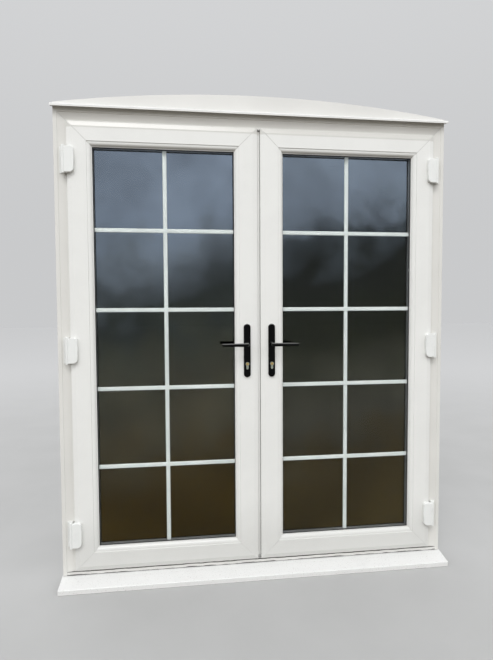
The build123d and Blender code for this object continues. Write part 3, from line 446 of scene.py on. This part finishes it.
# Soft noise varies the painted reflection, like clouds.
painted_cloud_size = 350 * MM
half_gap = 20 * MM                   # either side of the middle, where no glass is
on_the_right = spread(tree, axes["X"], 0, 1, -half_gap, half_gap)
painted_sky_and_room = mixed_colour(tree, on_the_right, tints(tree, along_glass, left_painted_sky_and_room),
                    tints(tree, along_glass, right_painted_sky_and_room))
painted_clouds = tree.nodes.new("ShaderNodeVectorMath")
painted_clouds.operation = "SCALE"
tree.links.new(painted_sky_and_room, painted_clouds.inputs["Vector"])
tree.links.new(spread(tree, noise(tree, place, painted_cloud_size, 3.0), 0.75, 1.15), painted_clouds.inputs["Scale"])
tree.links.new(painted_clouds.outputs["Vector"], shader.inputs["Base Color"])
print("tints:", len(left_painted_sky_and_room), "on the left and", len(right_painted_sky_and_room), "on the right")

# %% [markdown]
# ## Each surface gets its finish
# A node's name ends in the piece's own name, with the leaf's side in front. All nodes could be listed
# one by one, but one table of endings covers both leaves, and where two endings fit, the longer one is
# meant.

# %% Which finish goes where
finish_of = {
    "top_rail": "leaf", "bottom_rail": "leaf", "hinge_stile": "leaf", "meeting_stile": "leaf",
    "glazing_beads": "leaf", "floating_mullion": "leaf",
    "frame_head": "frame", "frame_jamb_left": "frame", "frame_jamb_right": "frame",
    "arch_panel": "panel", "head_drip": "drip",
    "cill": "cill", "cill_end_caps": "cill", "threshold": "threshold",
    "outer_seal": "seal", "inner_seal": "seal", "meeting_seal": "gasket", "glazing_gaskets": "gasket",
    "glazing_bars": "bar", "spacer": "spacer",
    "hinge_frame_parts": "hinge", "hinge_flags": "hinge", "hinge_covers": "hinge", "hinge_pins": "zinc",
    "handle_plates": "handle", "outer_lever": "handle", "inner_lever": "handle", "spindle": "zinc",
    "cylinder_body": "nickel", "cylinder_plug": "brass",
    "lock_case": "lock_zinc", "lock_cases": "lock_zinc", "lock_keeps": "lock_zinc",
    "latch_bolt": "lock_zinc", "hook_bolt_lower": "lock_zinc", "hook_bolt_upper": "lock_zinc",
    "shootbolt_top": "zinc", "shootbolt_bottom": "zinc", "shootbolt_keeps": "zinc",
}
panes = {"outer_pane": outer_glass, "inner_pane": inner_glass}
print("kinds of piece:", len(finish_of) + len(panes))


# %% Give the CAD nodes their materials
def give(piece, material):
    """Make one material the only one of a piece."""
    piece.data.materials.clear()
    piece.data.materials.append(material)


for name, node in nodes.items():
    ending = max((key for key in (*finish_of, *panes) if name.endswith(key)), key=len)
    give(node, panes[ending] if ending in panes else finishes[finish_of[ending]])
print("finished nodes:", len(nodes))

# %% [markdown]
# ## Working with new pieces
# Every small piece below could be written down point by point. Here each is made as by hand instead,
# which shows its shape: a primitive is added where it belongs and shaped in edit mode. An operator acts
# on all that is selected, so the first helpers select pieces, or those faces, edges or points that a
# test accepts. The others close a piece, move its place into its mesh, copy, mirror and join, and at
# last give it its finish and the body that it rides on.

# %% Selecting pieces and parts of a mesh
SAME_WAY = 0.99                      # how well two directions agree that count as one


def only(*pieces):
    """Make these the only selected pieces, with the first one active."""
    bpy.ops.object.select_all(action="DESELECT")
    for piece in pieces:
        piece.select_set(True)
    bpy.context.view_layer.objects.active = pieces[0]


def pick(piece, kind, wanted):
    """Select the faces, edges or points that a test accepts, and stay in edit mode."""
    only(piece)
    bpy.ops.object.mode_set(mode="EDIT")
    bpy.ops.mesh.select_mode(type=kind)
    bpy.ops.mesh.select_all(action="DESELECT")
    bpy.ops.object.mode_set(mode="OBJECT")
    parts = {"VERT": piece.data.vertices, "EDGE": piece.data.edges, "FACE": piece.data.polygons}[kind]
    for part in parts:
        part.select = wanted(part)
    bpy.ops.object.mode_set(mode="EDIT")


def leave_edit_mode():
    """Go back to object mode, where the changes are kept."""
    bpy.ops.object.mode_set(mode="OBJECT")


# %% Closing a piece, and moving its place into its mesh
HAIR = 0.01 * MM                     # points closer than this are one point


def close_up(piece):
    """Merge doubled points and turn every face outwards."""
    only(piece)
    bpy.ops.object.mode_set(mode="EDIT")
    bpy.ops.mesh.select_all(action="SELECT")
    bpy.ops.mesh.remove_doubles(threshold=HAIR)
    bpy.ops.mesh.normals_make_consistent(inside=False)
    leave_edit_mode()


def apply_place(piece):
    """Move a piece's place, turn and scale into its mesh."""
    only(piece)
    bpy.ops.object.transform_apply(location=True, rotation=True, scale=True)


# %% Copying, mirroring and joining
X = 0                                # the axes by their numbers
Z = 2


def twin_of(piece, name):
    """A copy with a mesh of its own."""
    twin = piece.copy()
    twin.data = piece.data.copy()
    twin.name = name
    bpy.context.scene.collection.objects.link(twin)
    return twin


def copy_to(piece, name, move):
    """A copy that is moved to its place."""
    twin = twin_of(piece, name)
    twin.location = Vector(move)
    apply_place(twin)
    return twin


def mirror_image(piece, name, axis, middle):
    """A copy mirrored along one axis, about a plane through a middle."""
    twin = twin_of(piece, name)
    twin.scale[axis] = -1
    twin.location[axis] = 2 * middle
    apply_place(twin)
    close_up(twin)
    return twin


def join(name, pieces):
    """Several pieces made one, with a name."""
    only(*pieces)
    bpy.ops.object.join()
    pieces[0].name = name
    return pieces[0]


# %% Finishing a piece
def finish_piece(piece, body, material):
    """Give a new piece its finish, and let it move with its body."""
    give(piece, material)
    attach(piece, body)
    print(piece.name, "faces:", len(piece.data.polygons), "on", body)


# %% [markdown]
# ## Weld seams
# The plastic members of a leaf are mitred, pressed together hot and welded. A knife then takes the
# squeezed out plastic away, and leaves a shallow groove along each mitre whose bottom is a fine V of
# rougher, greyer plastic. The part has the groove itself, and this is the V. A dark line in the
# material would be flat and would show from everywhere alike, so it is a thin strip of its own. It
# follows the profile's contour, which is measured by shooting rays at the rail, and so it fits whatever
# section the part has.

# %% Measure the contours of the leaf and of the frame
FRONT = 1
BACK = -1
ray_start = 400 * MM                 # farther out than any piece, in front and behind
bevel_insets = (1.5, 10.0, 15.0, 18.0, 21.0, 24.0)
ovolo_insets = (82.0, 83.2, 84.6, 87.2, 89.5, 92.0, 95.0, 98.0, 100.5, 102.5, 103.8)
leaf_back_insets = (22.0, 82.0)
frame_insets = (2.0, 8.0, 15.5, 17.2, 30.0, 46.2, 54.0)
frame_back_insets = (2.0, 80.0)


def contour(node, top, insets, side):
    """The depth of a node's front or back at some insets, in mm, below its top edge."""
    points = []
    for inset in insets:
        start = Vector((leaf_middle.x, -side * ray_start, top - inset * MM))
        hit, place, normal, face = nodes[node].ray_cast(start, Vector((0, side, 0)))
        if hit:
            points.append((inset * MM, place.y))
    print(node, "depths, mm:", [round(depth / MM, 2) for inset, depth in points])
    return points


leaf_contour = contour("right_top_rail", leaf_top, bevel_insets + ovolo_insets, FRONT)
leaf_back = contour("right_top_rail", leaf_top, leaf_back_insets, BACK)
frame_contour = contour("frame_head", frame_top, frame_insets, FRONT)
frame_back = contour("frame_head", frame_top, frame_back_insets, BACK)

# %% [markdown]
# ## One seam
# The strip starts as a small upright rectangle in the corner. It is extruded along the mitre from one
# measured point to the next, as a rubber strip is pressed in. Then its outer face gets a line of points
# along its middle, and they are pushed in to make the V.

# %% Push a strip along the mitre and press in its V
seam_width = 2.7 * MM
seam_thickness = 0.42 * MM
seam_sink = 0.05 * MM
seam_v_share = 0.8                   # of the strip's thickness


def seam_along(name, corner, points, side):
    """A thin strip along the mitre that starts at a corner, with its outer face pressed into a V."""
    inward = Vector((0, side, 0))
    sink = inward * seam_sink
    path = [Vector((corner.x - inset, depth, corner.z - inset)) + sink for inset, depth in points]
    across = Vector((1, 0, -1)).normalized()
    half = across * seam_width / 2
    deep = inward * seam_thickness
    bpy.ops.mesh.primitive_plane_add(size=1, location=(0, 0, 0))
    seam = bpy.context.object
    seam.name = name
    outline = (path[0] - half, path[0] + half, path[0] - half + deep, path[0] + half + deep)
    for point, place in zip(seam.data.vertices, outline):
        point.co = place
    pick(seam, "FACE", lambda face: True)
    for start, end in zip(path, path[1:]):
        bpy.ops.mesh.extrude_region_move(TRANSFORM_OT_translate={"value": end - start})
    leave_edit_mode()

    def runs_across(edge):
        first, second = (seam.data.vertices[index].co for index in edge.vertices)
        return abs((second - first).normalized().dot(across)) > SAME_WAY

    def is_on_the_line(point):
        step = min(path, key=lambda place: (place - point.co).length)
        offset = point.co - step
        return abs(offset.dot(across)) < seam_width / 8 and offset.dot(inward) < seam_thickness / 4

    pick(seam, "EDGE", runs_across)
    bpy.ops.mesh.subdivide(number_cuts=1)
    leave_edit_mode()
    pick(seam, "VERT", is_on_the_line)
    bpy.ops.transform.translate(value=seam_v_share * deep)
    leave_edit_mode()
    close_up(seam)
    print(name, "points:", len(seam.data.vertices))
    return seam


# %% The leaves' seams, in front and behind
leaf_corner = Vector((leaf_outer, 0, leaf_top))
upper_outer = join("seam", [seam_along("seam_front", leaf_corner, leaf_contour, FRONT),
                            seam_along("seam_back", leaf_corner, leaf_back, BACK)])
upper_inner = mirror_image(upper_outer, "seam_inner", X, leaf_middle.x)
lower_outer = mirror_image(upper_outer, "seam_low", Z, leaf_middle.z)
lower_inner = mirror_image(upper_inner, "seam_low_inner", Z, leaf_middle.z)
right_seams = join("right_weld_seams", [upper_outer, upper_inner, lower_outer, lower_inner])
left_seams = mirror_image(right_seams, "left_weld_seams", X, 0)
finishes["weld"] = coating("weld_scar", (0.66, 0.655, 0.63), roughness=0.55, shade=0.1, patch=0.02,
                           grain=0.3 * MM, relief=0.04 * MM)
finish_piece(right_seams, "right_leaf", finishes["weld"])
finish_piece(left_seams, "left_leaf", finishes["weld"])

# %% The frame's two upper corners
frame_corner = Vector((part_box("frame_head")[1].x, 0, frame_top))
right_frame_seam = join("frame_seam", [seam_along("frame_seam_front", frame_corner, frame_contour, FRONT),
                                       seam_along("frame_seam_back", frame_corner, frame_back, BACK)])
left_frame_seam = mirror_image(right_frame_seam, "frame_seam_left", X, 0)
frame_seams = join("frame_weld_seams", [right_frame_seam, left_frame_seam])
finish_piece(frame_seams, "frame", finishes["weld"])

# %% [markdown]
# ## Gasket behind the meeting edge
# The right leaf laps over the floating mullion, and a soft gasket on the back of its edge closes the
# last slit between the two. It is an extrusion, so a drawn outline could be pulled up along the edge.
# Two steps from a cube are shorter: a thin base on the leaf, and a thinner lip drawn out of its side
# towards the mullion. The lip stops just short of it, so each leaf can swing by itself.

# %% The gasket's base
gasket_seat = 14.0 * MM              # back of the leaf's edge
gasket_thickness = 1.4 * MM
gasket_width = 8.0 * MM
gasket_start = leaf_inner + 2.5 * MM
mullion_low, mullion_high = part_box("left_floating_mullion")
gasket_height = mullion_high.z - mullion_low.z
bpy.ops.mesh.primitive_cube_add(size=1)
gasket = bpy.context.object
gasket.name = "right_overlap_gasket"
gasket.scale = (gasket_width, gasket_thickness, gasket_height)
gasket.location = (gasket_start + gasket_width / 2, gasket_seat + gasket_thickness / 2,
                   (mullion_low.z + mullion_high.z) / 2)
apply_place(gasket)
print("gasket height:", round(gasket_height, 3), "m")

# %% Its lip
lip_gap = 0.6 * MM
lip_thinning = 0.5
lip_rounding = 0.25 * MM
lip_reach = mullion_high.x + lip_gap - gasket_start
pick(gasket, "FACE", lambda face: face.normal.x < -SAME_WAY)
bpy.ops.mesh.extrude_region_move(TRANSFORM_OT_translate={"value": (lip_reach, 0, 0)})
bpy.ops.transform.resize(value=(1, lip_thinning, 1))
leave_edit_mode()


def is_lip_edge(edge):
    """Whether an edge runs the whole height of the gasket along its lip."""
    start, end = (gasket.data.vertices[index].co for index in edge.vertices)
    return max(start.x, end.x) < mullion_high.x + 2 * lip_gap and abs(start.z - end.z) > gasket_height / 2


pick(gasket, "EDGE", is_lip_edge)
bpy.ops.mesh.bevel(offset=lip_rounding, segments=2, affect="EDGES")
leave_edit_mode()
close_up(gasket)
finish_piece(gasket, "right_leaf", finishes["seal"])

# %% [markdown]
# ## Caps on the hinge pins
# The pin of a door hinge ends in a small white plastic cap that is pushed over it, above and below the
# barrel. A cap could be a lathe profile that is spun, but it is so small that a short cylinder does:
# its rim is rounded with a bevel, and its end is inset and lifted a little into a dome. One cap is made
# on the lowest hinge, and the other eleven are copies and mirror images of it. Where the pins end is
# read from the part.

# %% Where the pins stand
def stretches(node, axis, gap):
    """The stretches along an axis that a node's separate solids fill, where a gap tells them apart."""
    places = sorted(point.co[axis] for point in nodes[node].data.vertices)
    found = [[places[0], places[0]]]
    for place in places:
        if place - found[-1][1] > gap:
            found.append([place, place])
        found[-1][1] = place
    return found


piece_gap = 200 * MM                 # two solids farther apart than this are two pieces
pin_low, pin_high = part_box("hinge_pins")
pin_radius = (pin_high.y - pin_low.y) / 2
pin_centre = Vector((pin_high.x - pin_radius, pin_low.y + pin_radius, 0))
pins = stretches("hinge_pins", Z, piece_gap)
print("pins at", [(round(low, 4), round(high, 4)) for low, high in pins])

# %% Model one cap
cap_radius = 7.0 * MM
cap_height = 3.4 * MM
cap_rounding = 0.4 * cap_height
cap_inset = 0.35 * cap_radius
dome_rise = 0.12 * cap_height
pin_head = 1.5 * MM                  # pin beyond the barrel's end
cap_end = pins[0][1] - pin_head + cap_height
bpy.ops.mesh.primitive_cylinder_add(vertices=32, radius=cap_radius, depth=cap_height)
cap = bpy.context.object
cap.location = pin_centre + Vector((0, 0, cap_end - cap_height / 2))
apply_place(cap)
pick(cap, "FACE", lambda face: face.normal.z > SAME_WAY)
bpy.ops.mesh.bevel(offset=cap_rounding, segments=4, affect="EDGES")
leave_edit_mode()
pick(cap, "FACE", lambda face: face.normal.z > SAME_WAY and face.center.z > cap_end - HAIR)
bpy.ops.mesh.inset(thickness=cap_inset)
bpy.ops.transform.translate(value=(0, 0, dome_rise))
leave_edit_mode()
close_up(cap)
print("cap faces:", len(cap.data.polygons))

# %% Copy the cap to every pin end
softest_edge = radians(40)           # edges that bend less look round
pair = join("cap_pair", [cap, mirror_image(cap, "cap_below", Z, sum(pins[0]) / 2)])
caps = [pair] + [copy_to(pair, "cap_pair", (0, 0, low - pins[0][0])) for low, high in pins[1:]]
right_caps = join("right_caps", caps)
hinge_caps = join("hinge_pin_caps", [right_caps, mirror_image(right_caps, "left_caps", X, 0)])
only(hinge_caps)
bpy.ops.object.shade_smooth_by_angle(angle=softest_edge)
finish_piece(hinge_caps, "frame", finishes["hinge"])

# %% [markdown]
# ## Screws
# The faceplate of the lock, the keeps and the inner handle plates are held by countersunk screws with a
# cross recess. Their threads are out of sight, so only the heads are made: a short cylinder with a
# bevelled rim, from which a Boolean modifier cuts the two bars of the cross. One head is made at the
# origin and copied to each place, turned to the side that it faces.

# %% Model one screw head
screw_radius = 3.3 * MM
screw_rise = 0.55 * MM
screw_rounding = 0.45 * screw_rise
cross_length = 1.25 * screw_radius
cross_width = 0.24 * screw_radius
cross_depth = 0.7 * screw_rise
bpy.ops.mesh.primitive_cylinder_add(vertices=24, radius=screw_radius, depth=2 * screw_rise)
plain_head = bpy.context.object
pick(plain_head, "FACE", lambda face: face.normal.z > SAME_WAY)
bpy.ops.mesh.bevel(offset=screw_rounding, segments=3, affect="EDGES")
leave_edit_mode()
for length, width in ((cross_length, cross_width), (cross_width, cross_length)):
    bpy.ops.mesh.primitive_cube_add(size=1, location=(0, 0, screw_rise))
    bar = bpy.context.object
    bar.scale = (length, width, 2 * cross_depth)
    apply_place(bar)
    only(plain_head)
    cut = plain_head.modifiers.new("cross", "BOOLEAN")
    cut.operation = "DIFFERENCE"
    cut.solver = "EXACT"
    cut.object = bar
    bpy.ops.object.modifier_apply(modifier="cross")
    bpy.data.objects.remove(bar)
close_up(plain_head)
print("screw head faces:", len(plain_head.data.polygons))


# %% Put screws at their places, facing one way
def screw_at(place, facing):
    """A copy of the screw head that stands on a surface."""
    twin = twin_of(plain_head, "screw")
    twin.rotation_mode = "QUATERNION"
    twin.rotation_quaternion = Vector((0, 0, 1)).rotation_difference(Vector(facing))
    twin.location = Vector(place)
    apply_place(twin)
    return twin


def screws(name, places, facing, body, material):
    """All the screws of one kind in one piece."""
    piece = join(name, [screw_at(place, facing) for place in places])
    close_up(piece)
    finish_piece(piece, body, material)


# %% [markdown]
# ## Where the screws go
# A screw sits beside each part that needs it: along the faceplate between the bolts, at both ends of
# every keep, and near the ends of the inner handle plates. The screws of one row could stay single
# pieces. They are joined, because nothing ever moves them apart. Their places are measured from the boxes
# of the parts that they hold.

# %% Screws of the lock's faceplate and of its keeps
case_low, case_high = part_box("right_lock_cases")
keep_low, keep_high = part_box("left_lock_keeps")
lock_y = (keep_low.y + keep_high.y) / 2
end_inset = 20 * MM
faceplate_rises = (20, 228, 508, 748, 1018, 1178, 1468, 1628)
faceplate_heights = [case_low.z + rise * MM for rise in faceplate_rises]
faceplate_heights.append(case_high.z - end_inset)
faceplate_places = [(case_low.x, lock_y, z) for z in faceplate_heights]
screws("right_faceplate_screws", faceplate_places, (-1, 0, 0), "right_leaf",
       finishes["zinc"])

keep_inset = 5 * MM
keep_places = []
for low, high in stretches("left_lock_keeps", Z, piece_gap):
    keep_places.append((keep_high.x, lock_y, low + keep_inset))
    keep_places.append((keep_high.x, lock_y, high - keep_inset))
screws("left_keep_screws", keep_places, (1, 0, 0), "left_leaf", finishes["zinc"])

# %% Screws of the shootbolt keeps, in the threshold and in the head
bolt_keep_low, bolt_keep_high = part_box("shootbolt_keeps")
bolt_keep_y = (bolt_keep_low.y + bolt_keep_high.y) / 2
bolt_keep_x = (bolt_keep_low.x + keep_inset, bolt_keep_high.x - keep_inset)
sill_keep, head_keep = stretches("shootbolt_keeps", Z, piece_gap)
for name, z, facing in (("sill_keep_screws", sill_keep[1], 1), ("head_keep_screws", head_keep[0], -1)):
    places = [(x, bolt_keep_y, z) for x in bolt_keep_x]
    screws(name, places, (0, 0, facing), "frame", finishes["zinc"])

# %% Screws of the inner handle plates
plate_low, plate_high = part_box("right_handle_plates")
plate_inset = 21 * MM
plate_x = (plate_low.x + plate_high.x) / 2
plate_heights = (plate_low.z + plate_inset, plate_high.z - plate_inset)
for side, sign in (("right", 1), ("left", -1)):
    places = [(sign * plate_x, plate_high.y, z) for z in plate_heights]
    screws(f"{side}_plate_screws", places, (0, 1, 0), f"{side}_leaf", finishes["handle"])
bpy.data.objects.remove(plain_head)

# %% [markdown]
# ## Camera
# The picture is taken from a little left of the middle, at about chest height, and the camera is turned
# a few degrees to the right and down, so the right hand leaf recedes slightly. A camera can follow a
# target, but here its place and turns are known from a fit, so they are set directly, turn by turn.

# %% Camera
camera_place = Vector((-0.3408, -2.2041, 1.2397))
camera_yaw = -0.1269
camera_pitch = -0.0481
camera_roll = -0.0048
picture_height_px = 660
focal_length_px = 484.53
sensor_height_mm = 36.0
camera_data = bpy.data.cameras.new("camera")
camera_data.sensor_fit = "VERTICAL"
camera_data.sensor_height = sensor_height_mm
camera_data.lens = focal_length_px * sensor_height_mm / picture_height_px
camera = bpy.data.objects.new("camera", camera_data)
bpy.context.scene.collection.objects.link(camera)
turn_right = Matrix.Rotation(camera_yaw, 4, "Z")
look_down = Matrix.Rotation(pi / 2 + camera_pitch, 4, "X")
lean = Matrix.Rotation(camera_roll, 4, "Z")
camera.matrix_world = Matrix.Translation(camera_place) @ turn_right @ look_down @ lean
bpy.context.scene.camera = camera
print("lens:", round(camera_data.lens, 2), "mm")

# %% [markdown]
# ## Floor
# A pale plain floor carries the cill and takes its shadow. Seen directly it is light grey and grows
# paler with the distance, so it runs into the backdrop without a horizon. What it throws back on the
# doors is the warmer and darker tone of paving, because that is how much light comes up under the drip
# trim outdoors. One paint for both would be simpler, but a floor as pale as this one would light the
# undersides too much.

# %% Which rays see, and which only carry light
def seen_ray(tree):
    """1 for a ray from the camera, off a gloss or through glass, and 0 for light on its way."""
    ray = tree.nodes.new("ShaderNodeLightPath").outputs
    mirrored = calculated(tree, "MAXIMUM", ray["Is Camera Ray"], ray["Is Glossy Ray"])
    return calculated(tree, "MAXIMUM", mirrored, ray["Is Transmission Ray"])


# %% Lay the floor and paint it
floor_size = 60.0
floor_gap = 0.5 * MM
cloudy_patch = 0.4
bounced_colour = (0.20, 0.186, 0.162)
far_colour = (0.57, 0.57, 0.57)
far_start = 1.5
far_end = 9.0
bpy.ops.mesh.primitive_plane_add(size=floor_size, location=(0, 0, box_after_load[0].z - floor_gap))
floor = bpy.context.object
floor.name = "floor"
floor_finish, tree, shader = new_material("floor_paint")
place = object_coordinates(tree)
clouding = spread(tree, noise(tree, place, cloudy_patch, 4.0), 0, 1)
near_paint = mixed_colour(tree, clouding, (0.44, 0.44, 0.435), (0.46, 0.46, 0.455))
distance = tree.nodes.new("ShaderNodeVectorMath")
distance.operation = "LENGTH"
tree.links.new(place, distance.inputs[0])
how_far = spread(tree, distance.outputs["Value"], 0, 1, far_start, far_end)
seen_paint = mixed_colour(tree, how_far, near_paint, far_colour)
paint = mixed_colour(tree, seen_ray(tree), bounced_colour, seen_paint)
tree.links.new(paint, shader.inputs["Base Color"])
shader.inputs["Roughness"].default_value = 0.9
give(floor, floor_finish)
print("floor:", floor_size, "m wide")

# %% [markdown]
# ## Sky
# The doors stand outside under an overcast sky. Its light comes mostly from in front and from a low
# angle, because the house hides the sky behind and overhead. A single grey would light every face
# nearly alike, so the brightness is spread over the height of the sky. The backdrop that the camera
# sees, and that shows in the glass, is an even pale grey instead.

# %% Sky: what lights the doors, and what is seen
front_low = 0.55
front_high = 1.88
overhead_share = 0.25
back_low = 0.7
back_high = 1.0
backdrop_low = 0.60
backdrop_high = 0.68
world = bpy.data.worlds.new("studio")
bpy.context.scene.world = world
world.use_nodes = True
tree = world.node_tree
background = tree.nodes["Background"]
direction = axes_of(tree, tree.nodes.new("ShaderNodeTexCoord").outputs["Generated"])
rise = direction["Z"]
in_front = spread(tree, direction["Y"], 1, 0, -0.5, 0.1)
front_light = calculated(tree, "MULTIPLY", spread(tree, rise, front_low, front_high, 0.05, 0.3),
                         spread(tree, rise, 1.0, overhead_share, 0.45, 0.9))
back_light = spread(tree, rise, back_low, back_high, 0.0, 0.4)
light = mixed_value(tree, in_front, back_light, front_light)
backdrop = spread(tree, rise, backdrop_low, backdrop_high, 0.1, 0.7)
tree.links.new(mixed_value(tree, seen_ray(tree), light, backdrop), background.inputs["Strength"])
background.inputs["Color"].default_value = (0.975, 0.985, 1.0, 1)
print("world nodes:", len(tree.nodes))

# %% [markdown]
# ## Lamp
# One broad lamp high in front and to the left is the brightest part of the clouds. A sun lamp with a
# wide angle could stand for it too. An area lamp has a place and a size in metres, which are easier to
# picture: far away, so the top and the foot of the doors are lit almost alike, and broad, so the shadows
# under the drip trim and the rails stay soft.

# %% Lamp
lamp_place = Vector((-2.0, -8.2, 12.0))
lamp_target = Vector((0, 0, 1.1))
bpy.ops.object.light_add(type="AREA", location=lamp_place)
lamp = bpy.context.object
lamp.data.shape = "RECTANGLE"
lamp.data.size = 6.4
lamp.data.size_y = 4.0
lamp.data.energy = 720
lamp.rotation_euler = (lamp_target - lamp.location).to_track_quat("-Z", "Y").to_euler()
print("lamp:", lamp.data.energy, "W")

# %% [markdown]
# ## Colours as they are written
# The Standard view shows a colour as it is written in a material. The softer default view would grey
# the plastic, and the light above is set so that white stays just below full white without it.

# %% Colour management
bpy.context.scene.view_settings.view_transform = "Standard"
print("view transform:", bpy.context.scene.view_settings.view_transform)
